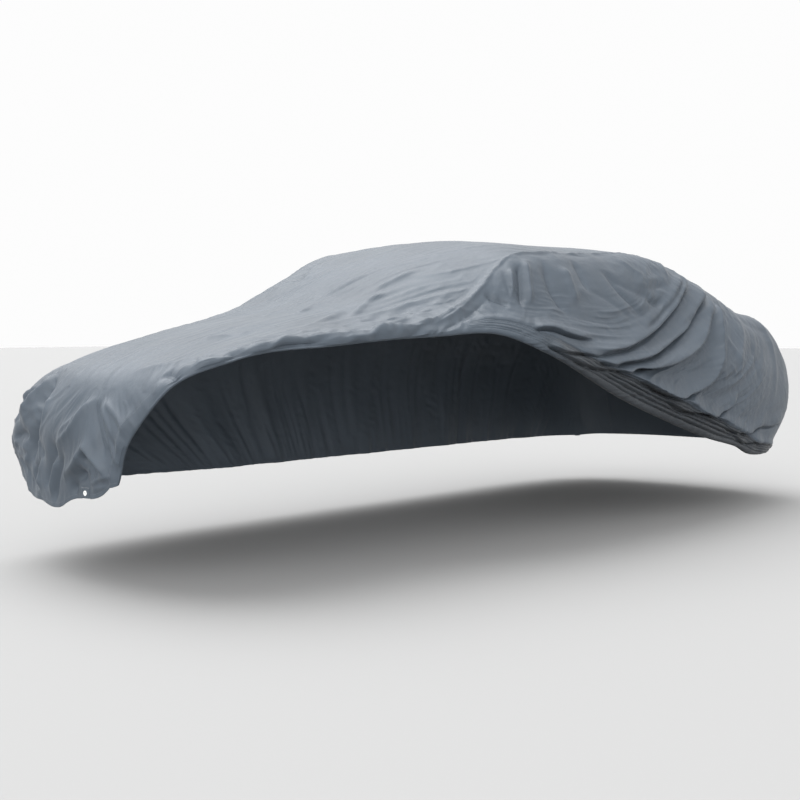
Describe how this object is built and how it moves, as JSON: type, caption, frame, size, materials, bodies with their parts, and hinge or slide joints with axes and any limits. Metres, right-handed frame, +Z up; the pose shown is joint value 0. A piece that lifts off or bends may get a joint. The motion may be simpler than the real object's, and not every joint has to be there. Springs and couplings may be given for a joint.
{
  "type": "fitted car cover",
  "caption": "Fitted cover of coated grey cloth, draped over a saloon form and lifted in swags along one side, with an empty eyelet in the front hem.",
  "frame": {"origin": "on the inner face of the roof of the cover, on its middle line, where what it covers holds it up", "axes": "+X towards the rear hem, -Y towards the lifted side, +Z up"},
  "size_m": [4.8982, 1.9582, 1.2172],
  "materials": {
    "cloth": "coated woven polyester with a faint sheen",
    "ring": "moulded, slightly glossy"
  },
  "bodies": {
    "root": {"top_panel": "cloth", "side_panel_near": "cloth", "side_panel_far": "cloth", "eyelet_strip": "cloth", "eyelet_ring": "ring"}
  },
  "joints": []
}
